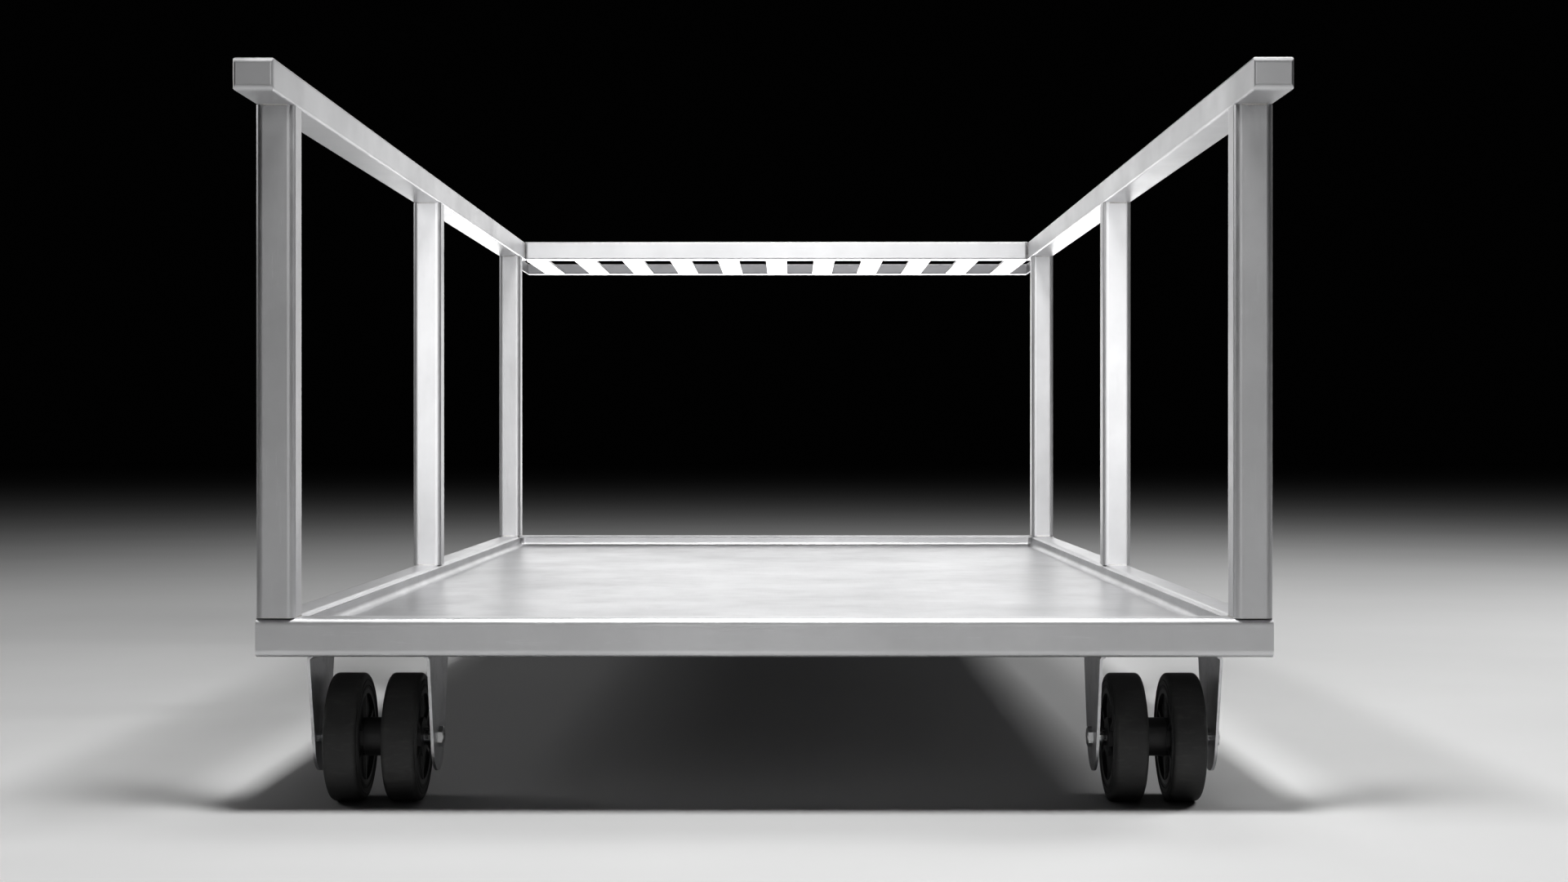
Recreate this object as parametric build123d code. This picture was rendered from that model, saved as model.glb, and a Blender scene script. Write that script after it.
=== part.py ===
from build123d import *
import os

# Airport luggage trolley: a square-tube frame with a recessed deck, six posts, two top rails
# whose front ends are the push handles, a slatted shelf behind the rear posts and four
# twin-wheel swivel casters.
# Frame: +X to the right, +Y from the handle end to the shelf end, +Z up, millimetres.
# The origin is on the floor, under the middle of the overall box.

# ---- driving dimensions ----
frame_width = 1040.0        # over the outer faces of the side beams
frame_length = 1900.0       # over the front and rear beams
tube = 40.0                 # square tube of the base frame and the posts
tube_wall = 2.0
tube_radius = 7.5           # outer corner radius of the square tube
least_radius = 0.5          # least inner corner radius of any tube
cap_plate = 2.0             # end plate of a beam's cap
cap_plug = 6.0              # how far a cap's plug reaches into its tube

post_height = 525.0         # frame top to rail underside
rail_width = 40.0
rail_height = 33.0
rail_radius = 3.0
rail_cap = 9.0              # length of a rail's solid end cap
rail_cap_round = 6.5        # rounding of the cap's top and bottom edges
rail_cap_side = 3.0         # rounding of the cap's side edges
cross_cap_round = 6.5       # rounding of the crossbar caps' upright edges
cross_cap_side = 3.0        # rounding of the crossbar caps' level edges
handle_reach = 90.0         # how far the rails stand out ahead of the front posts
crossbar_gap = 30.0         # clear space behind the rear posts before the crossbar
crossbar_depth = 40.0

shelf_depth = 330.0         # clear length of the slats
shelf_bar_depth = 40.0
shelf_bar_height = 20.0
shelf_bar_radius = 2.5
slat_count = 11
slat_width = 40.0
slat_thickness = 4.0        # the slats are flat bars
slat_corner = 4.0           # plan radius of their far corners
slat_margin = 35.75         # side plate to the nearest slat
side_plate = 3.0            # thin plates that close the shelf's two sides

deck_thickness = 2.0
deck_rim_drop = 3.0         # frame top down to the pan's rim
deck_cove = 8.0             # inside radius between deck and rim
deck_corner = 7.0           # plan radius of the pan's outer corners
deck_well_corner = 9.0      # plan radius inside the rim
deck_heel = 6.5             # outside radius under the rim

bearer_thickness = 3.0      # sheet of the channels under the deck
bearer_width = 130.0        # the two that carry casters
cross_width = 60.0          # the plain ones
cross_count = 3

bearer_gap = 2.0            # front or rear beam to the channel beside it
plate_gap = 7.0             # side beam to the caster plate beside it
wheel_diameter = 136.0
wheel_width = 35.0
wheel_gap = 26.0            # between the two wheels of a caster
wheel_side_gap = 13.0       # between a wheel and the fork's leg
wheel_headroom = 22.0       # tyre up to the crown's underside
tyre_depth = 17.0
tyre_shoulder = 5.0
core_recess = 4.0           # how far the wheel's web is sunk from its side faces
core_hub = 41.0
core_rim = 5.0              # rim of the core left outside the sunk web
core_edge = 0.5
rib_count = 6
rib_width = 5.0
rib_step = 1.0              # how far the ribs stay below the core's side faces
bush_diameter = 20.0
axle_diameter = 12.0
running_clearance = 0.05    # radial, on every shaft that turns
side_clearance = 0.4        # between pieces that turn against each other
spacer_diameter = 41.0      # sleeve between the wheels
side_spacer_diameter = 18.0  # sleeves between the wheels and the legs
fork_headroom = 2.0         # crown up to the beams that it swivels under
fork_sheet = 3.0
fork_bend = 6.0
fork_top_depth = 126.0
fork_crown_depth = 96.0
fork_end_radius = 36.0
kingpin_diameter = 14.0
kingpin_head = 24.0
kingpin_head_height = 3.5
kingpin_rivet = 19.0
kingpin_rivet_height = 4.0
rivet_clearance = 1.5       # radial, around the rivet head in its channel
plate_length = 120.0
plate_width = 106.0
plate_thickness = 4.0
plate_corner = 8.0
bearing_diameter = 70.0
bearing_height = 7.1
bearing_groove = 2.0
bolt_diameter = 8.0
bolt_clearance = 0.5
bolt_head_flats = 13.0
bolt_head_height = 5.3
nut_height = 6.2
bolt_tip = 0.4              # how far a bolt or axle stands out of its nut
nut_headroom = 0.4          # between a bolt's tip and the deck
hex_chamfer = 0.12          # chamfer of a hexagon's corners, as a share of its flats
bolt_edge = 12.0            # bolt centre in from the plate's edges
axle_head_flats = 19.0
axle_head_height = 7.0
axle_nut_height = 5.0
axle_washer_diameter = 24.0
axle_washer = 1.5
overrun = 1.0               # how far a cutting solid runs past what it cuts

# ---- derived levels and places ----
crown_top = wheel_diameter + wheel_headroom + fork_sheet
bearing_bottom = crown_top + side_clearance
plate_bottom = bearing_bottom + bearing_height
bearer_bottom = plate_bottom + plate_thickness
bearer_height = bearer_thickness + nut_height + bolt_tip + nut_headroom
deck_bottom = bearer_bottom + bearer_height
frame_bottom = crown_top + fork_headroom
frame_top = frame_bottom + tube
rail_bottom = frame_top + post_height
half_width = frame_width / 2
overall_back = frame_length + crossbar_gap + crossbar_depth + shelf_depth + shelf_bar_depth
front_y = handle_reach - (handle_reach + overall_back) / 2
rear_y = front_y + frame_length
crossbar_front = rear_y + crossbar_gap
crossbar_back = crossbar_front + crossbar_depth
shelf_bar_front = crossbar_back + shelf_depth
shelf_bar_back = shelf_bar_front + shelf_bar_depth
side_x = half_width - tube / 2
rail_x = half_width - rail_width / 2
wheel_radius = wheel_diameter / 2
axle_z = wheel_radius
leg_inner = wheel_gap / 2 + wheel_width + wheel_side_gap
fork_width = 2 * (leg_inner + fork_sheet)
wheel_offset = (wheel_gap + wheel_width) / 2
post_rows = {
    "front": front_y + tube / 2,
    "mid": front_y + frame_length / 2,
    "rear": rear_y - tube / 2,
}
sides = {"left": -1, "right": 1}
caster_x = half_width - tube - plate_gap - plate_length / 2
caster_inset = tube + bearer_gap + bearer_width / 2
caster_rows = {"front": front_y + caster_inset, "rear": rear_y - caster_inset}
bolt_span_x = plate_length - 2 * bolt_edge
bolt_span_y = plate_width - 2 * bolt_edge

parts = {}


def block(x0, x1, y0, y1, z0, z1):
    """A plain box between two corners."""
    size = (x1 - x0, y1 - y0, z1 - z0)
    return Pos((x0 + x1) / 2, (y0 + y1) / 2, (z0 + z1) / 2) * Box(*size)


def bar_section(width, height, radius, wall):
    """A rounded rectangular tube section, hollow when wall is given."""
    outline = RectangleRounded(width, height, radius)
    if wall:
        inner = RectangleRounded(width - 2 * wall, height - 2 * wall, max(radius - wall, least_radius))
        outline = outline - inner
    return outline


def bar(axis, start, length, across, up, width, height, radius, wall):
    """A tube that runs along X, Y or Z from start; across and up place its centre line."""
    section = bar_section(width, height, radius, wall)
    if axis == "X":
        plane = Plane(origin=(start, across, up), x_dir=(0, 1, 0), z_dir=(1, 0, 0))
    elif axis == "Y":
        plane = Plane(origin=(across, start, up), x_dir=(-1, 0, 0), z_dir=(0, 1, 0))
    else:
        plane = Plane(origin=(across, up, start), x_dir=(1, 0, 0), z_dir=(0, 0, 1))
    return extrude(plane * section, amount=length)


def end_cap(axis, face, out, across, up, size, plate):
    """A cap whose plate covers a tube's end at face and whose plug sits inside the tube."""
    width, height, radius, wall = size
    plate_start = face if out > 0 else face - plate
    cover = bar(axis, plate_start, plate, across, up, width, height, radius, 0)
    plug_start = face - cap_plug if out > 0 else face
    plug = bar(axis, plug_start, cap_plug, across, up, width - 2 * wall, height - 2 * wall,
               max(radius - wall, least_radius), 0)
    return cover, plug


def cylinder_x(diameter, x0, x1, y, z):
    """A round bar along X."""
    return Pos((x0 + x1) / 2, y, z) * Rot(0, 90, 0) * Cylinder(diameter / 2, abs(x1 - x0))


def cylinder_z(diameter, z0, z1, x, y):
    """A round bar along Z."""
    return Pos(x, y, (z0 + z1) / 2) * Cylinder(diameter / 2, abs(z1 - z0))


def hexagon(flats, height):
    """A hexagonal head on the XY plane, measured across its flats, its outer corners chamfered."""
    prism = extrude(RegularPolygon(flats / 2, 6, major_radius=False), amount=height)
    cut = hex_chamfer * flats
    blank = Cylinder(flats / 2 + cut, height, align=(Align.CENTER, Align.CENTER, Align.MIN))
    blank = chamfer(blank.faces().sort_by(Axis.Z)[-1].edges(), cut / 2, cut)
    return prism & blank


# ---- base frame ----
def base_frame():
    """Front and rear beams run the full width; the side beams butt in between them."""
    beam_length = frame_width - 2 * cap_plate
    level = frame_bottom + tube / 2
    section = (tube, tube, tube_radius, tube_wall)
    for name in ("front", "rear"):
        y = post_rows[name]
        parts[name + "_beam"] = bar("X", -beam_length / 2, beam_length, y, level, *section)
    for name, sign in sides.items():
        run = frame_length - 2 * tube
        parts[name + "_side_beam"] = bar("Y", front_y + tube, run, sign * side_x, level, *section)
    caps = []
    for name in ("front", "rear"):
        for sign in sides.values():
            face = sign * beam_length / 2
            cover, plug = end_cap("X", face, sign, post_rows[name], level, section, cap_plate)
            caps.append(cover + plug)
    parts["beam_end_caps"] = Compound(children=caps)


def posts():
    """Six upright tubes standing on the beams under the rails."""
    for row, y in post_rows.items():
        for name, sign in sides.items():
            parts[row + "_" + name + "_post"] = bar(
                "Z", frame_top, post_height, sign * side_x, y, tube, tube, tube_radius, tube_wall)


# ---- deck ----
def deck():
    """A pressed sheet pan with a coved rim that lies against the beams' inner faces."""
    outer_x = half_width - tube
    y0 = front_y + tube
    y1 = rear_y - tube
    middle = (y0 + y1) / 2
    rim_top = frame_top - deck_rim_drop
    height = rim_top - deck_bottom
    shell = extrude(RectangleRounded(2 * outer_x, y1 - y0, deck_corner), amount=height)
    shell = fillet(shell.faces().sort_by(Axis.Z)[0].edges(), deck_heel)
    hollow = RectangleRounded(2 * (outer_x - deck_thickness), y1 - y0 - 2 * deck_thickness,
                              deck_well_corner)
    well = extrude(hollow, amount=height)
    well = fillet(well.faces().sort_by(Axis.Z)[0].edges(), deck_cove)
    pan = shell - Pos(0, 0, deck_thickness) * well
    parts["deck_pan"] = Pos(0, middle, deck_bottom) * pan


def channel(width, y, holes):
    """An upturned channel across the frame, its web below and its flanges under the deck."""
    outer_x = half_width - tube
    body = block(-outer_x, outer_x, y - width / 2, y + width / 2, bearer_bottom, deck_bottom)
    inside = width / 2 - bearer_thickness
    body -= block(-outer_x, outer_x, y - inside, y + inside, bearer_bottom + bearer_thickness,
                  deck_bottom)
    for x, y_hole, diameter in holes:
        body -= cylinder_z(diameter, bearer_bottom - overrun, deck_bottom, x, y_hole)
    return body


def bolt_places(x, y):
    """The four bolt centres of one caster plate."""
    return [(x + i * bolt_span_x / 2, y + j * bolt_span_y / 2) for i in (-1, 1) for j in (-1, 1)]


def under_deck():
    """Two wide channels carry the casters, and plain ones stiffen the deck between them."""
    for row, y in caster_rows.items():
        holes = []
        for sign in sides.values():
            x = sign * caster_x
            holes.append((x, y, kingpin_rivet + 2 * rivet_clearance))
            holes += [(bx, by, bolt_diameter + 2 * bolt_clearance) for bx, by in bolt_places(x, y)]
        parts[row + "_caster_channel"] = channel(bearer_width, y, holes)
    span = caster_rows["rear"] - caster_rows["front"]
    step = span / (cross_count + 1)
    crosses = [channel(cross_width, caster_rows["front"] + step * (i + 1), [])
               for i in range(cross_count)]
    parts["deck_cross_channels"] = Compound(children=crosses)


# ---- rails and shelf ----
def rounded_cap(axis, face, out, across, up, size, upright_round, level_round):
    """A solid end cap, its outer edges rounded, with a plug inside its tube."""
    width, height = size[:2]
    cover, plug = end_cap(axis, face, out, across, up, size, rail_cap)
    blank = Box(width, 2 * rail_cap, height)
    place = Pos(face, across, up) * Rot(0, 0, 90) if axis == "X" else Pos(across, face, up)
    for direction, radius in ((Axis.Z, upright_round), (Axis.X, level_round)):
        cover &= place * fillet(blank.edges().filter_by(direction), radius)
    return cover + plug


def rails():
    """Top rails; the stretch ahead of the front posts is the handle."""
    level = rail_bottom + rail_height / 2
    start = front_y - handle_reach + rail_cap
    end = crossbar_back - rail_cap
    section = (rail_width, rail_height, rail_radius, tube_wall)
    caps = []
    for name, sign in sides.items():
        x = sign * rail_x
        parts[name + "_rail"] = bar("Y", start, end - start, x, level, *section)
        for face, out in ((start, -1), (end, 1)):
            caps.append(rounded_cap("Y", face, out, x, level, section, rail_cap_side,
                                    rail_cap_round))
    parts["rail_end_caps"] = Compound(children=caps)


def crossbar():
    """The bar that joins the rails behind the rear posts, with rounded ends against them."""
    level = rail_bottom + rail_height / 2
    y = crossbar_front + crossbar_depth / 2
    end = half_width - rail_width - rail_cap
    section = (crossbar_depth, rail_height, rail_radius, tube_wall)
    parts["rear_crossbar"] = bar("X", -end, 2 * end, y, level, *section)
    caps = [rounded_cap("X", sign * end, sign, y, level, section, cross_cap_round, cross_cap_side)
            for sign in sides.values()]
    parts["crossbar_end_caps"] = Compound(children=caps)


def shelf():
    """Flat slats between the crossbar and a lower far bar, closed by side plates."""
    inner = half_width - side_plate
    bar_level = rail_bottom + shelf_bar_height / 2
    parts["shelf_far_bar"] = bar("X", -inner, 2 * inner, shelf_bar_front + shelf_bar_depth / 2,
                                 bar_level, shelf_bar_depth, shelf_bar_height,
                                 shelf_bar_radius, tube_wall)
    first = slat_margin + slat_width / 2 - inner
    pitch = -2 * first / (slat_count - 1)
    slats = []
    for i in range(slat_count):
        x = first + i * pitch
        slat = block(x - slat_width / 2, x + slat_width / 2, crossbar_back, shelf_bar_front,
                     rail_bottom, rail_bottom + slat_thickness)
        slats.append(fillet(slat.edges().filter_by(Axis.Z).group_by(Axis.Y)[-1], slat_corner))
    parts["shelf_slats"] = Compound(children=slats)
    for name, sign in sides.items():
        x0, x1 = sorted((sign * inner, sign * half_width))
        parts["shelf_" + name + "_plate"] = block(x0, x1, crossbar_back, shelf_bar_back,
                                                  rail_bottom, rail_bottom + shelf_bar_height)


# ---- casters ----
def mount_hardware():
    """Plate, swivel bearing, kingpin and bolts of every caster, all fixed to the frame."""
    pins, bearings, bolts, nuts = [], [], [], []
    head_top = crown_top - fork_sheet - side_clearance
    bore = kingpin_diameter + 2 * running_clearance
    for row, y in caster_rows.items():
        for side, sign in sides.items():
            x = sign * caster_x
            plate = extrude(RectangleRounded(plate_length, plate_width, plate_corner),
                            amount=plate_thickness)
            plate = Pos(x, y, plate_bottom) * plate
            plate -= cylinder_z(kingpin_diameter, plate_bottom, bearer_bottom, x, y)
            for bx, by in bolt_places(x, y):
                plate -= cylinder_z(bolt_diameter + 2 * bolt_clearance, plate_bottom,
                                    bearer_bottom, bx, by)
            parts["caster_plate_" + row + "_" + side] = plate
            ring = cylinder_z(bearing_diameter, bearing_bottom, plate_bottom, x, y)
            ring -= cylinder_z(bore, bearing_bottom, plate_bottom, x, y)
            seam = (bearing_bottom + plate_bottom) / 2
            groove = cylinder_z(bearing_diameter, seam - bearing_groove / 2,
                                seam + bearing_groove / 2, x, y)
            groove -= cylinder_z(bearing_diameter - 2 * bearing_groove,
                                 seam - bearing_groove / 2, seam + bearing_groove / 2, x, y)
            bearings.append(ring - groove)
            pin = cylinder_z(kingpin_diameter, head_top, bearer_bottom, x, y)
            pin += cylinder_z(kingpin_head, head_top - kingpin_head_height, head_top, x, y)
            pin += cylinder_z(kingpin_rivet, bearer_bottom, bearer_bottom + kingpin_rivet_height,
                              x, y)
            pins.append(pin)
            for bx, by in bolt_places(x, y):
                nut_bottom = bearer_bottom + bearer_thickness
                head = hexagon(bolt_head_flats, bolt_head_height)
                bolt = Pos(bx, by, plate_bottom) * Rot(180, 0, 0) * head
                bolt += cylinder_z(bolt_diameter, plate_bottom, nut_bottom + nut_height
                                   + bolt_tip, bx, by)
                bolts.append(bolt)
                nut = Pos(bx, by, nut_bottom) * hexagon(bolt_head_flats, nut_height)
                nut -= cylinder_z(bolt_diameter + 2 * running_clearance, nut_bottom,
                                  nut_bottom + nut_height, bx, by)
                nuts.append(nut)
    parts["caster_kingpins"] = Compound(children=pins)
    parts["caster_swivel_bearings"] = Compound(children=bearings)
    parts["caster_bolts"] = Compound(children=bolts)
    parts["caster_nuts"] = Compound(children=nuts)


def fork(x, y):
    """One bent sheet: a crown with two tapered legs whose ends are round about the axle."""
    inner_bend = fork_bend - fork_sheet
    height = crown_top
    outer = block(-fork_width / 2, fork_width / 2, -fork_top_depth / 2, fork_top_depth / 2,
                  0, height)
    top_edges = outer.edges().filter_by(Axis.Y).group_by(Axis.Z)[-1]
    outer = fillet(top_edges, fork_bend)
    void = block(-leg_inner, leg_inner, -fork_top_depth / 2, fork_top_depth / 2,
                 -overrun, height - fork_sheet)
    void = fillet(void.edges().filter_by(Axis.Y).group_by(Axis.Z)[-1], inner_bend)
    body = outer - void
    half = fork_top_depth / 2
    profile = make_hull(
        [Pos(0, axle_z) * e for e in Circle(fork_end_radius).edges()]
        + [Line((-half, height - fork_sheet), (half, height - fork_sheet)),
           Line((-half, height), (half, height))])
    side_shape = Plane.YZ * profile
    body = body & extrude(side_shape, amount=fork_width, both=True)
    bend_line = leg_inner - inner_bend
    for sign in (-1, 1):
        y0, y1 = sorted((sign * fork_crown_depth / 2, sign * fork_top_depth))
        body -= block(-bend_line, bend_line, y0, y1, height - 2 * fork_sheet, height + overrun)
    body -= cylinder_z(kingpin_diameter + 2 * running_clearance, height - 2 * fork_sheet,
                       height + overrun, 0, 0)
    body -= cylinder_x(axle_diameter, -fork_width, fork_width, 0, axle_z)
    return Pos(x, y, 0) * body


def axle_bolt(x, y, outboard):
    """Bolt through both legs: head and washer outboard, thin nut and tip inboard."""
    half = fork_width / 2
    reach = half + axle_nut_height + bolt_tip
    body = cylinder_x(axle_diameter, -reach, half + axle_washer, 0, axle_z)
    body += cylinder_x(axle_washer_diameter, half, half + axle_washer, 0, axle_z)
    head = Rot(0, 90, 0) * hexagon(axle_head_flats, axle_head_height - axle_washer)
    body += Pos(half + axle_washer, 0, axle_z) * head
    nut = Rot(0, -90, 0) * hexagon(axle_head_flats, axle_nut_height)
    body += Pos(-half, 0, axle_z) * nut
    turn = Rot(0, 0, 0) if outboard > 0 else Rot(0, 0, 180)
    return Pos(x, y, 0) * turn * body


def ring_section(inner, outer, half, rounding):
    """Half section of a ring about the X axis, in the XZ plane, with rounded outer corners."""
    section = Pos(0, (inner + outer) / 2) * Rectangle(2 * half, outer - inner)
    corners = section.vertices().group_by(Axis.Y)[-1]
    return fillet(corners, rounding)


def spin(section):
    """Turn a flat section about the wheel's axle."""
    return revolve(Plane.XZ * section, axis=Axis.X, revolution_arc=360)


def wheel(x, y):
    """A tyre on a moulded core with a hub, a sunk web and a plain bush in its bore."""
    half = wheel_width / 2
    rim_radius = wheel_radius - tyre_depth
    tyre = spin(ring_section(rim_radius, wheel_radius, half, tyre_shoulder))
    bush_radius = bush_diameter / 2
    core = spin(ring_section(bush_radius, rim_radius, half, core_edge))
    well_inner = core_hub / 2
    well_outer = rim_radius - core_rim
    for sign in (-1, 1):
        well = Pos(sign * (half - core_recess / 2), (well_inner + well_outer) / 2) * Rectangle(
            core_recess, well_outer - well_inner)
        core -= spin(well)
    rib_length = well_outer - well_inner + 2 * core_edge
    rib = Box(2 * (half - rib_step), rib_width, rib_length)
    for i in range(rib_count):
        core += Rot(360 * i / rib_count, 0, 0) * Pos(0, 0, (well_inner + well_outer) / 2) * rib
    bore = axle_diameter / 2 + running_clearance
    bush = spin(Pos(0, (bore + bush_radius) / 2) * Rectangle(2 * half, bush_radius - bore))
    place = Pos(x, y, axle_z)
    return place * tyre, Compound(children=[place * core, place * bush])


def sleeve(diameter, x0, x1, y):
    """A tube on the axle."""
    return cylinder_x(diameter, x0, x1, y, axle_z) - cylinder_x(axle_diameter, x0, x1, y, axle_z)


def spacers(x, y):
    """A sleeve between the wheels and a thinner one between each wheel and its leg."""
    middle = wheel_gap / 2 - side_clearance
    start = leg_inner - wheel_side_gap + side_clearance
    return Compound(children=[
        sleeve(spacer_diameter, x - middle, x + middle, y),
        sleeve(side_spacer_diameter, x - leg_inner, x - start, y),
        sleeve(side_spacer_diameter, x + start, x + leg_inner, y),
    ])


def casters():
    """Fork, axle, spacers and two wheels at each corner."""
    for row, y in caster_rows.items():
        for side, sign in sides.items():
            name = row + "_" + side
            x = sign * caster_x
            parts["fork_" + name] = fork(x, y)
            parts["axle_" + name] = axle_bolt(x, y, sign)
            parts["spacer_" + name] = spacers(x, y)
            for where, shift in (("outer", sign), ("inner", -sign)):
                tyre, core = wheel(x + shift * wheel_offset, y)
                parts["tyre_" + name + "_" + where] = tyre
                parts["wheel_core_" + name + "_" + where] = core


base_frame()
posts()
deck()
under_deck()
rails()
crossbar()
shelf()
mount_hardware()
casters()

os.makedirs("parts", exist_ok=True)
for node, shape in parts.items():
    export_step(shape, "parts/" + node + ".step")
print(len(parts), "nodes written")
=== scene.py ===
import math
import random

import bmesh
import bpy
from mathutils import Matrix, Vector


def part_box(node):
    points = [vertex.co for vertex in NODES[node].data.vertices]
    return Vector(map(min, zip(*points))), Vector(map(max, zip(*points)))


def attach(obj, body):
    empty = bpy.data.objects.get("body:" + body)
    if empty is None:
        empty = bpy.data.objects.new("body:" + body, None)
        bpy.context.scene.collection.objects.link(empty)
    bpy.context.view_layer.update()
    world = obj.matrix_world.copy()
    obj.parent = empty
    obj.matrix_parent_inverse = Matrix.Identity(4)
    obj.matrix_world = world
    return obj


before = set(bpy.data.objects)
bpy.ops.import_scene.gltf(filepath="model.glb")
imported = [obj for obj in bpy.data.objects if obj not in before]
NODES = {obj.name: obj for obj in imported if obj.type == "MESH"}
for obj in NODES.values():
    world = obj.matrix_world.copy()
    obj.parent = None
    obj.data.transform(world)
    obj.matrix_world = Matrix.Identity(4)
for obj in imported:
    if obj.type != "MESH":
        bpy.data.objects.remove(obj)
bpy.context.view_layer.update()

MM = 0.001
SIDES = ("left", "right")
WHEELS = ("outer", "inner")
CORNERS = [row + "_" + side for row in ("front", "rear") for side in SIDES]

# shader sockets of a colour mix, by index because their names repeat
MIX_A, MIX_B, MIX_OUT = 6, 7, 2

# noise scales per metre: long along the tube or sheet, fine across it
GRAIN = {"x": (9.0, 1400.0, 1400.0), "y": (1400.0, 9.0, 1400.0), "z": (1400.0, 1400.0, 9.0)}
SCRATCH = {"x": (14.0, 420.0, 260.0), "y": (420.0, 14.0, 260.0), "z": (260.0, 420.0, 14.0)}
HAIRLINES = [(0.0, 0.0), (0.665, 0.0), (0.69, 1.0), (0.72, 0.0)]
GRAIN_DEPTH = 0.03 * MM
WAVE_DEPTH = 1.2 * MM

# as in the CAD
FORK_SHEET = 3.0 * MM
SIDE_CLEARANCE = 0.4 * MM
SLEEVE_RADIUS = 9.0 * MM
SLATS = 11
SLAT_WIDTH = 40.0 * MM
CROSS_CHANNELS = 3
CROSS_CHANNEL_WIDTH = 60.0 * MM

# weld beads: radii, ripple, and how far each stops from the corners
SEED = 7
FRAME_BEAD = 1.3 * MM
DECK_BEAD = 1.8 * MM
RIPPLE = 0.14
RIPPLE_TURN = 2.2               # radians from one ring of a bead to the next
BEAD_END = 0.55                 # share of the radius left at a bead's ends
POST_INSET = 7.0 * MM
CROSSBAR_INSET = 3 * MM
SLAT_INSET = 3 * MM
CASTER_CHANNEL_INSET = 6 * MM
CROSS_CHANNEL_INSET = 4 * MM

ROUND_SIDES = 8                 # sides of a bead's or a ring's section
RING_STEPS = 96
RING_SHARES = (0.80, 0.885)     # of the tyre's radius
RING_THICKNESS = 0.7 * MM
COLLAR_STEPS = 40
COLLAR_RADIUS = 9.6 * MM
COLLAR_EDGE = 0.4 * MM          # chamfer of a collar's ends

FLOOR_SIZE = 60.0
NIGHT = (0.0005, 0.0005, 0.0005, 1.0)
CAMERA_RIGHT = 0.0266           # of the trolley's middle
CAMERA_AHEAD = 2.2225           # of the front beam's face
CAMERA_HEIGHT = 0.3875
CAMERA_DIP = 0.086              # degrees below level
CAMERA_TURN = 0.163             # degrees to the left
LENS_MM, SENSOR_MM = 50.0, 36.0


# ---------------------------------------------------------------- materials
class Shader:
    """A Principled material with short calls for its procedural nodes."""

    def __init__(self, name, color, metallic, roughness):
        self.material = bpy.data.materials.new(name)
        self.material.use_nodes = True
        self.tree = self.material.node_tree
        self.bsdf = self.tree.nodes["Principled BSDF"]
        self.set("Base Color", (*color, 1.0))
        self.set("Metallic", metallic)
        self.set("Roughness", roughness)
        self.place = self.node("ShaderNodeTexCoord").outputs["Object"]

    def set(self, socket, value):
        self.bsdf.inputs[socket].default_value = value

    def node(self, kind, **settings):
        made = self.tree.nodes.new(kind)
        for key, value in settings.items():
            setattr(made, key, value)
        return made

    def link(self, source, target):
        self.tree.links.new(source, target)

    def stretched(self, scale):
        """Object coordinates, stretched: metres times the scale given for each axis."""
        mapping = self.node("ShaderNodeMapping")
        mapping.inputs["Scale"].default_value = scale
        self.link(self.place, mapping.inputs["Vector"])
        return mapping.outputs["Vector"]

    def noise(self, scale, detail=4.0, rough=0.55, distortion=0.0):
        """Noise with a scale for each axis, or one for all three."""
        tex = self.node("ShaderNodeTexNoise")
        tex.inputs["Scale"].default_value = 1.0
        tex.inputs["Detail"].default_value = detail
        tex.inputs["Roughness"].default_value = rough
        tex.inputs["Distortion"].default_value = distortion
        scales = scale if isinstance(scale, tuple) else (scale,) * 3
        self.link(self.stretched(scales), tex.inputs["Vector"])
        return tex.outputs["Fac"]

    def ramp(self, source, stops):
        """Maps a value through stops of (position, grey)."""
        made = self.node("ShaderNodeValToRGB")
        points = made.color_ramp.elements
        while len(points) < len(stops):
            points.new(0.5)
        for point, (position, grey) in zip(points, stops):
            point.position = position
            point.color = (grey, grey, grey, 1.0)
        self.link(source, made.inputs["Fac"])
        return made.outputs["Color"]

    def rise(self, source, start, end):
        """Black up to start, white from end."""
        return self.ramp(source, [(start, 0.0), (end, 1.0)])

    def maths(self, operation, *values):
        made = self.node("ShaderNodeMath", operation=operation)
        for socket, value in zip(made.inputs, values):
            if isinstance(value, (int, float)):
                socket.default_value = value
            else:
                self.link(value, socket)
        return made.outputs["Value"]

    def add(self, a, b):
        return self.maths("ADD", a, b)

    def times(self, a, b):
        return self.maths("MULTIPLY", a, b)

    def mix(self, factor, a, b):
        made = self.node("ShaderNodeMix", data_type="RGBA")
        self.link(factor, made.inputs["Factor"])
        for socket, value in ((made.inputs[MIX_A], a), (made.inputs[MIX_B], b)):
            if isinstance(value, tuple):
                socket.default_value = (*value, 1.0)
            else:
                self.link(value, socket)
        return made.outputs[MIX_OUT]

    def bump(self, height, distance, strength=1.0, under=None):
        made = self.node("ShaderNodeBump")
        made.inputs["Distance"].default_value = distance
        made.inputs["Strength"].default_value = strength
        self.link(height, made.inputs["Height"])
        if under:
            self.link(under, made.inputs["Normal"])
        return made.outputs["Normal"]

    def out(self, socket, source):
        self.link(source, self.bsdf.inputs[socket])


def shade(color, factor):
    """A colour made darker or paler."""
    return tuple(min(1.0, factor * c) for c in color)


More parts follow.
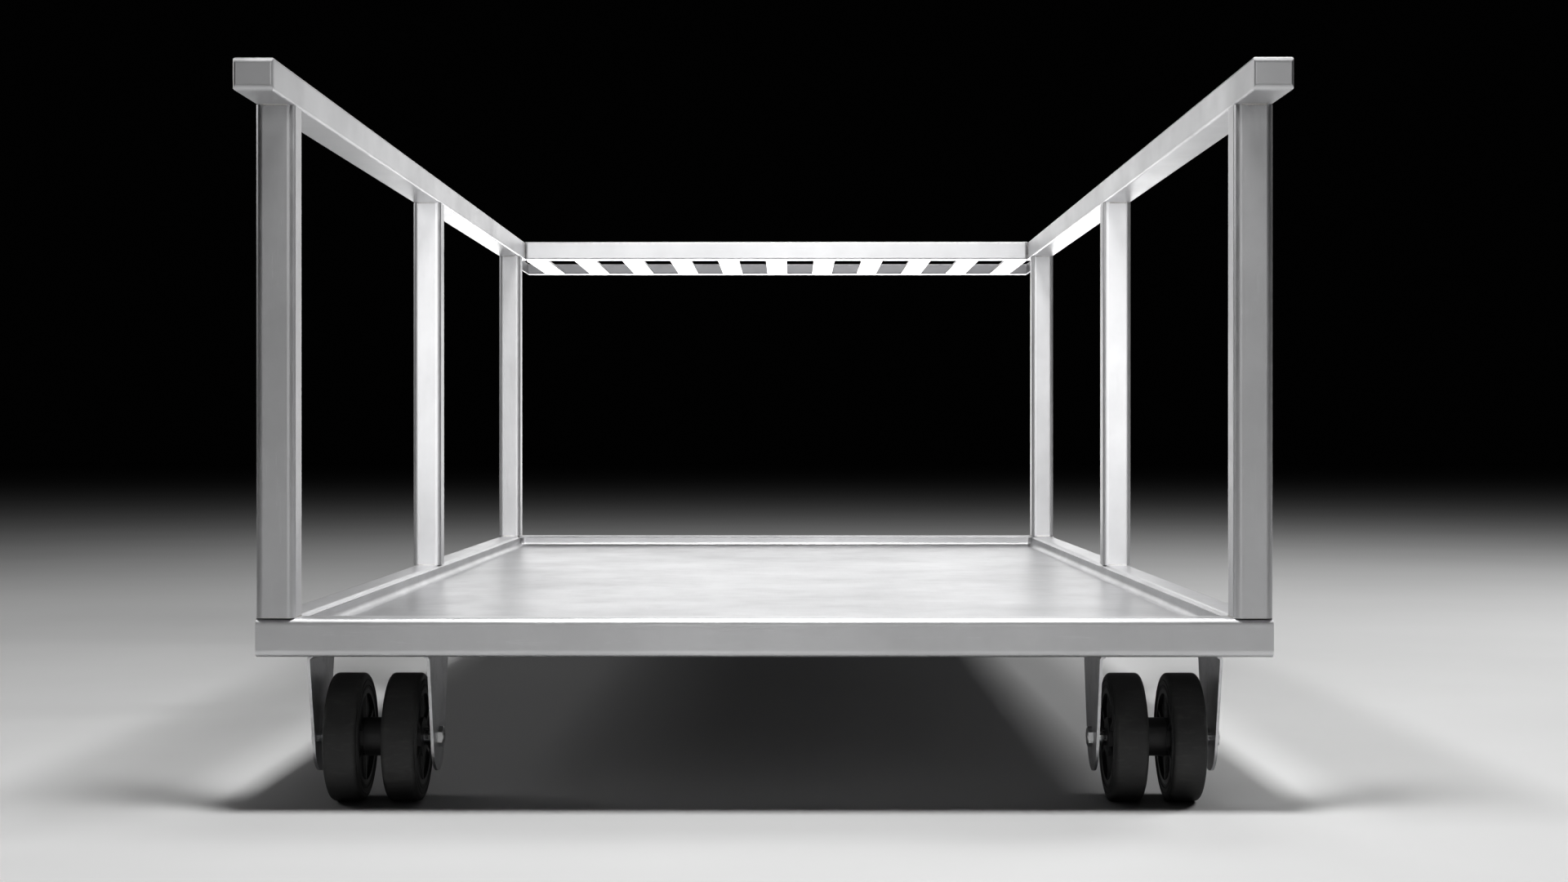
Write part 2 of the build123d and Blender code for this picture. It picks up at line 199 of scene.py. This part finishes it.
def satin_steel(name, along, color, roughness, spread):
    """Brushed and polished sheet or tube: fine grain along it, smudges, hairlines and dust."""
    s = Shader(name, color, 1.0, roughness)
    grain = s.noise(GRAIN[along], detail=2.0)
    cloud = s.noise(5.0, detail=5.0, rough=0.6)
    mottle = s.noise(34.0, detail=3.0)
    hair = s.ramp(s.noise(SCRATCH[along], detail=2.0, distortion=0.4), HAIRLINES)
    tone = s.mix(s.rise(cloud, 0.35, 0.7), color, shade(color, 0.86))
    s.out("Base Color", s.mix(s.times(hair, 0.35), tone, shade(color, 1.12)))
    rough = s.maths("MULTIPLY_ADD", cloud, spread, roughness - 0.5 * spread)
    rough = s.add(rough, s.times(s.rise(mottle, 0.45, 0.75), 0.35 * spread))
    rough = s.add(rough, s.times(grain, 0.05))
    s.out("Roughness", s.add(rough, s.times(hair, 0.10)))
    relief = s.maths("SUBTRACT", grain, s.times(hair, 1.5))
    waves = s.bump(s.noise(7.0, detail=1.0), WAVE_DEPTH, 0.25)
    s.out("Normal", s.bump(relief, GRAIN_DEPTH, 0.5, waves))
    return s.material


def zinc_plate(name, color, roughness):
    """Zinc-plated pressed steel: a fine crystalline mottle, streaks of passivation and grime."""
    s = Shader(name, color, 1.0, roughness)
    flakes = s.node("ShaderNodeTexVoronoi")
    flakes.inputs["Scale"].default_value = 1.0
    s.link(s.stretched((240.0, 240.0, 240.0)), flakes.inputs["Vector"])
    grime = s.noise(22.0, detail=5.0, rough=0.65)
    tone = s.mix(s.rise(grime, 0.48, 0.78), color, shade(color, 0.55))
    s.out("Base Color", s.mix(s.times(flakes.outputs["Distance"], 0.3), tone, shade(color, 1.15)))
    s.out("Roughness", s.add(s.times(grime, 0.25), roughness - 0.12))
    s.out("Normal", s.bump(s.noise(900.0, detail=2.0), 0.06 * MM, 0.5))
    return s.material


def turned_steel(name, color, roughness):
    """Bright bolts and pins: tool marks and a little grime."""
    s = Shader(name, color, 1.0, roughness)
    marks = s.noise((1600.0, 300.0, 300.0), detail=2.0)
    grime = s.noise(90.0)
    s.out("Base Color", s.mix(s.rise(grime, 0.5, 0.75), color, shade(color, 0.6)))
    s.out("Roughness", s.add(s.times(grime, 0.3), roughness - 0.12))
    s.out("Normal", s.bump(marks, 0.05 * MM, 0.6))
    return s.material


def weld_metal(name):
    """Brushed-down weld: duller and rougher than the tube, with heat tint on its crests."""
    s = Shader(name, (0.5, 0.49, 0.48), 1.0, 0.42)
    grime = s.noise(60.0)
    clean, tinted = (0.56, 0.55, 0.54), (0.36, 0.34, 0.32)
    s.out("Base Color", s.mix(s.rise(grime, 0.35, 0.7), clean, tinted))
    s.out("Roughness", s.add(s.times(grime, 0.25), 0.28))
    s.out("Normal", s.bump(s.noise(700.0), 0.1 * MM, 0.6))
    return s.material


def tyre_rubber(name):
    """Near-black rubber: matte, faintly mottled, scuffed grey where it rolls."""
    s = Shader(name, (0.022, 0.022, 0.022), 0.0, 0.62)
    s.set("Specular IOR Level", 0.35)
    cloud = s.noise(26.0, detail=5.0, rough=0.6)
    scuff = s.rise(s.noise((60.0, 220.0, 220.0)), 0.52, 0.72)
    clean, faded, worn = (0.017, 0.017, 0.017), (0.034, 0.034, 0.033), (0.075, 0.073, 0.07)
    tone = s.mix(s.rise(cloud, 0.3, 0.75), clean, faded)
    s.out("Base Color", s.mix(s.times(scuff, 0.25), tone, worn))
    s.out("Roughness", s.add(s.times(cloud, 0.25), 0.48))
    fine = s.bump(s.noise(1500.0, detail=2.0), 0.12 * MM, 0.5)
    s.out("Normal", s.bump(scuff, 0.2 * MM, 0.4, fine))
    return s.material


def moulded_plastic(name):
    """Matte black moulded core: a fine spark texture and dust in its hollows."""
    s = Shader(name, (0.03, 0.03, 0.031), 0.0, 0.5)
    cloud = s.noise(40.0)
    clean, dusty = (0.026, 0.026, 0.027), (0.085, 0.083, 0.08)
    s.out("Base Color", s.mix(s.times(s.rise(cloud, 0.5, 0.8), 0.35), clean, dusty))
    s.out("Roughness", s.add(s.times(cloud, 0.3), 0.34))
    s.out("Normal", s.bump(s.noise(2200.0, detail=1.0), 0.08 * MM, 0.6))
    return s.material


def dress():
    """Gives every CAD node its material; tubes take the grain of their own direction."""
    tube_tone = (0.66, 0.66, 0.67)
    frame_steel = {a: satin_steel("frame_steel_" + a, a, tube_tone, 0.38, 0.12) for a in "xyz"}
    # painted shade: the shelf bars get a darker copy of the frame's satin steel, standing in for
    # the shade they sit in under the crossbar
    shelf_bar_painted_shade = satin_steel("shelf_bar_painted_shade_steel", "x", (0.3, 0.3, 0.31), 0.46, 0.12)
    deck = satin_steel("deck_steel", "y", (0.5, 0.5, 0.51), 0.34, 0.16)
    caster = zinc_plate("caster_steel", (0.6, 0.6, 0.61), 0.44)
    fastener = turned_steel("fastener_steel", (0.62, 0.62, 0.62), 0.28)
    rubber = tyre_rubber("tyre_rubber")
    core = moulded_plastic("wheel_plastic")
    for name, obj in NODES.items():
        if name.startswith("tyre_"):
            material = rubber
        elif name.startswith(("wheel_core_", "spacer_")):
            material = core
        elif name.startswith("axle_") or name in ("caster_bolts", "caster_nuts",
                                                  "caster_kingpins"):
            material = fastener
        elif name.startswith(("fork_", "caster_")):
            material = caster
        elif name == "deck_pan":
            material = deck
        elif name.endswith("_post"):
            material = frame_steel["z"]
        elif name.endswith(("_rail", "_side_beam")) or name in ("rail_end_caps", "shelf_slats"):
            material = frame_steel["y"]
        elif name.startswith("shelf_"):
            material = shelf_bar_painted_shade
        else:
            material = frame_steel["x"]
        for slot in obj.material_slots:
            slot.material = material
        if not obj.material_slots:
            obj.data.materials.append(material)


# ---------------------------------------------------------------- meshes
def skin(mesh, rings, closed):
    """Joins each ring of vertices to the next with quads, and the last to the first if closed."""
    following = rings[1:] + (rings[:1] if closed else [])
    for a, b in zip(rings, following):
        for k in range(len(a)):
            n = (k + 1) % len(a)
            mesh.faces.new((a[k], a[n], b[n], b[k]))


def lathe(mesh, centre, profile, steps):
    """Turns a closed outline of (x, radius) points about the X axis through centre."""
    rings = []
    for i in range(steps):
        angle = 2 * math.pi * i / steps
        out = Vector((0.0, math.cos(angle), math.sin(angle)))
        rings.append([mesh.verts.new(centre + Vector((x, 0.0, 0.0)) + out * radius)
                      for x, radius in profile])
    skin(mesh, rings, True)


def make_piece(name, mesh, material, body, angle=40.0):
    """Turns a bmesh into an object that rides on a body; sharper edges than angle stay sharp."""
    bmesh.ops.recalc_face_normals(mesh, faces=mesh.faces)
    data = bpy.data.meshes.new(name)
    mesh.to_mesh(data)
    mesh.free()
    data.materials.append(material)
    data.shade_smooth()
    data.set_sharp_from_angle(angle=math.radians(angle))
    piece = bpy.data.objects.new(name, data)
    bpy.context.scene.collection.objects.link(piece)
    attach(piece, body)
    return piece


# ---------------------------------------------------------------- weld beads
def sweep(mesh, start, end, radius, phase):
    """Adds a closed round bead along a line; its radius ripples like laid weld metal."""
    steps = max(2, int((end - start).length / (0.8 * radius)))
    points = [start.lerp(end, i / steps) for i in range(steps)] + [end]
    rings = []
    for i, point in enumerate(points):
        ahead = points[min(i + 1, steps)] - points[max(i - 1, 0)]
        turn = ahead.to_track_quat("Z", "Y")
        swell = 1.0 + RIPPLE * math.sin(phase + RIPPLE_TURN * i)
        if i in (0, steps):
            swell *= BEAD_END
        ring = []
        for k in range(ROUND_SIDES):
            angle = 2 * math.pi * k / ROUND_SIDES
            offset = Vector((math.cos(angle), math.sin(angle), 0.0)) * radius * swell
            ring.append(mesh.verts.new(point + turn @ offset))
        rings.append(ring)
    skin(mesh, rings, False)
    mesh.faces.new(list(reversed(rings[0])))
    mesh.faces.new(rings[-1])


def post_runs():
    """The bead lines at the posts' feet and heads."""
    feet, heads = [], []
    for row in ("front", "mid", "rear"):
        for side in SIDES:
            low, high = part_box(row + "_" + side + "_post")
            x0, x1 = low.x + POST_INSET, high.x - POST_INSET
            y0, y1 = low.y + POST_INSET, high.y - POST_INSET
            heads += [((x0, y, high.z), (x1, y, high.z)) for y in (low.y, high.y)]
            if row == "mid":
                feet += [((x0, y, low.z), (x1, y, low.z)) for y in (low.y, high.y)]
            else:
                inner = high.x if side == "left" else low.x
                feet.append(((inner, y0, low.z), (inner, y1, low.z)))
                y = high.y if row == "front" else low.y
                feet.append(((x0, y, low.z), (x1, y, low.z)))
    return feet, heads


def crossbar_runs():
    """The bead lines where the crossbar meets the rails."""
    low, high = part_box("rear_crossbar")
    z0, z1 = low.z + CROSSBAR_INSET, high.z - CROSSBAR_INSET
    return [((x, y, z0), (x, y, z1))
            for x in (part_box("left_rail")[1].x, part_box("right_rail")[0].x)
            for y in (low.y, high.y)]


def slat_runs():
    """The bead lines over both ends of each slat."""
    low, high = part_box("shelf_slats")
    pitch = (high.x - low.x - SLAT_WIDTH) / (SLATS - 1)
    runs = []
    for i in range(SLATS):
        x0 = low.x + i * pitch + SLAT_INSET
        x1 = x0 + SLAT_WIDTH - 2 * SLAT_INSET
        runs += [((x0, y, high.z), (x1, y, high.z)) for y in (low.y, high.y)]
    return runs


def deck_runs():
    """The bead lines at the ends of the channels under the deck."""
    runs = []
    for name in ("front_caster_channel", "rear_caster_channel"):
        low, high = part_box(name)
        y0, y1 = low.y + CASTER_CHANNEL_INSET, high.y - CASTER_CHANNEL_INSET
        runs += [((x, y0, low.z), (x, y1, low.z)) for x in (low.x, high.x)]
    low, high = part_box("deck_cross_channels")
    pitch = (high.y - low.y - CROSS_CHANNEL_WIDTH) / (CROSS_CHANNELS - 1)
    for i in range(CROSS_CHANNELS):
        y0 = low.y + i * pitch + CROSS_CHANNEL_INSET
        y1 = y0 + CROSS_CHANNEL_WIDTH - 2 * CROSS_CHANNEL_INSET
        runs += [((x, y0, low.z), (x, y1, low.z)) for x in (low.x, high.x)]
    return runs


def welds(material):
    """Small brushed-down beads where the tubes and sheets of the frame meet."""
    rng = random.Random(SEED)
    feet, heads = post_runs()
    for name, runs, radius in (("welds_post_feet", feet, FRAME_BEAD),
                               ("welds_post_heads", heads, FRAME_BEAD),
                               ("welds_crossbar", crossbar_runs(), FRAME_BEAD),
                               ("welds_shelf_slats", slat_runs(), FRAME_BEAD),
                               ("welds_under_deck", deck_runs(), DECK_BEAD)):
        mesh = bmesh.new()
        for start, end in runs:
            sweep(mesh, Vector(start), Vector(end), radius, rng.uniform(0, 6))
        make_piece(name, mesh, material, "frame")


# ---------------------------------------------------------------- wheels
def ring_bead(mesh, centre, radius, thickness):
    """A thin raised ring about the X axis."""
    turns = [2 * math.pi * k / ROUND_SIDES for k in range(ROUND_SIDES)]
    profile = [(thickness * math.sin(turn), radius + thickness * math.cos(turn))
               for turn in turns]
    lathe(mesh, centre, profile, RING_STEPS)


def tyre_rings(rubber):
    """Two moulded rings on each sidewall of every tyre."""
    for corner in CORNERS:
        for where in WHEELS:
            low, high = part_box("tyre_" + corner + "_" + where)
            centre = (low + high) / 2
            radius = (high.z - low.z) / 2
            mesh = bmesh.new()
            for x in (low.x, high.x):
                for share in RING_SHARES:
                    ring_bead(mesh, Vector((x, centre.y, centre.z)), share * radius,
                              RING_THICKNESS)
            make_piece("tyre_rings_" + corner + "_" + where, mesh, rubber,
                       "wheel_" + corner + "_" + where)


def axle_collars(steel):
    """Bright steel collars on each axle, between the outer faces of the wheels and the legs."""
    for corner in CORNERS:
        fork_low, fork_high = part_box("fork_" + corner)
        left, right = sorted((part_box("tyre_" + corner + "_" + where) for where in WHEELS),
                             key=lambda pair: pair[0].x)
        middle = (left[0] + left[1]) / 2
        spans = ((fork_low.x + FORK_SHEET, left[0].x - SIDE_CLEARANCE),
                 (right[1].x + SIDE_CLEARANCE, fork_high.x - FORK_SHEET))
        mesh = bmesh.new()
        for x0, x1 in spans:
            half = (x1 - x0) / 2
            edge = half - COLLAR_EDGE
            profile = [(-half, SLEEVE_RADIUS), (half, SLEEVE_RADIUS),
                       (half, COLLAR_RADIUS - COLLAR_EDGE), (edge, COLLAR_RADIUS),
                       (-edge, COLLAR_RADIUS), (-half, COLLAR_RADIUS - COLLAR_EDGE)]
            lathe(mesh, Vector(((x0 + x1) / 2, middle.y, middle.z)), profile, COLLAR_STEPS)
        make_piece("axle_collars_" + corner, mesh, steel, "caster_" + corner)


# ---------------------------------------------------------------- stage
def softbox(name, place, aim, size, watts):
    """A rectangular lamp that the camera doesn't see."""
    data = bpy.data.lights.new(name, "AREA")
    data.shape = "RECTANGLE"
    data.size, data.size_y = size
    data.energy = watts
    lamp = bpy.data.objects.new(name, data)
    bpy.context.scene.collection.objects.link(lamp)
    lamp.location = place
    lamp.rotation_euler = (Vector(aim) - Vector(place)).to_track_quat("-Z", "Y").to_euler()
    lamp.visible_camera = False
    return lamp


def reflector(name, place, aim, size, watts):
    """A panel that only glossy surfaces show, so that it leaves the floor's shade alone."""
    panel = softbox(name, place, aim, size, watts)
    panel.visible_diffuse = False
    return panel


def lights(front):
    """Softboxes over and beside the trolley, and panels for its steel to reflect."""
    softbox("key", place=(0.0, front - 0.375, 2.3), aim=(0.0, front, 0.0),
            size=(0.45, 0.45), watts=64.0)
    softbox("top_back", place=(0.7, 2.4, 4.2), aim=(0.6, 2.2, 0.0), size=(3.0, 2.0), watts=84.0)
    softbox("side_left", place=(-3.4, 0.6, 1.7), aim=(0.0, 0.3, 0.5), size=(1.4, 1.0), watts=19.0)
    softbox("side_right", place=(3.0, 0.4, 2.8), aim=(3.0, 0.4, 0.0), size=(1.4, 1.2), watts=95.0)
    reflector("panel_front", place=(0.2, -6.0, 1.2), aim=(0.2, 0.0, 0.8),
              size=(3.2, 1.4), watts=19.0)
    reflector("panel_back", place=(0.0, 5.0, 1.0), aim=(0.0, 0.0, 0.6),
              size=(2.8, 1.9), watts=32.0)
    under_shelf = reflector("panel_shelf", place=(0.0, 2.6, 0.34), aim=(0.0, 1.0, 0.75),
                            size=(2.2, 0.5), watts=1.2)
    under_shelf.data.spread = math.radians(30.0)
    reflector("panel_bay", place=(0.0, front + 0.045, 0.67), aim=(0.0, 1.0, 0.67),
              size=(2.0, 0.9), watts=7.5)


def stage():
    """A pale floor, a dark room, soft studio lights and the camera."""
    bpy.ops.mesh.primitive_plane_add(size=FLOOR_SIZE, location=(0.0, 0.0, 0.0))
    floor = bpy.context.object
    floor.name = "floor"
    s = Shader("floor_paint", (0.5, 0.5, 0.5), 0.0, 0.6)
    s.set("Specular IOR Level", 0.0)
    s.out("Base Color", s.mix(s.noise(1.5), (0.47, 0.47, 0.47), (0.53, 0.53, 0.53)))
    floor.data.materials.append(s.material)

    world = bpy.data.worlds.new("studio")
    bpy.context.scene.world = world
    world.use_nodes = True
    background = world.node_tree.nodes["Background"]
    background.inputs["Color"].default_value = NIGHT
    background.inputs["Strength"].default_value = 1.0
    bpy.context.scene.view_settings.view_transform = "Standard"

    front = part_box("front_beam")[0].y
    lights(front)

    data = bpy.data.cameras.new("camera")
    data.lens = LENS_MM
    data.sensor_width = SENSOR_MM
    camera = bpy.data.objects.new("camera", data)
    bpy.context.scene.collection.objects.link(camera)
    camera.location = (CAMERA_RIGHT, front - CAMERA_AHEAD, CAMERA_HEIGHT)
    camera.rotation_euler = (math.radians(90.0 - CAMERA_DIP), 0.0, math.radians(CAMERA_TURN))
    bpy.context.scene.camera = camera


dress()
welds(weld_metal("weld_steel"))
tyre_rings(bpy.data.materials["tyre_rubber"])
axle_collars(bpy.data.materials["fastener_steel"])
stage()
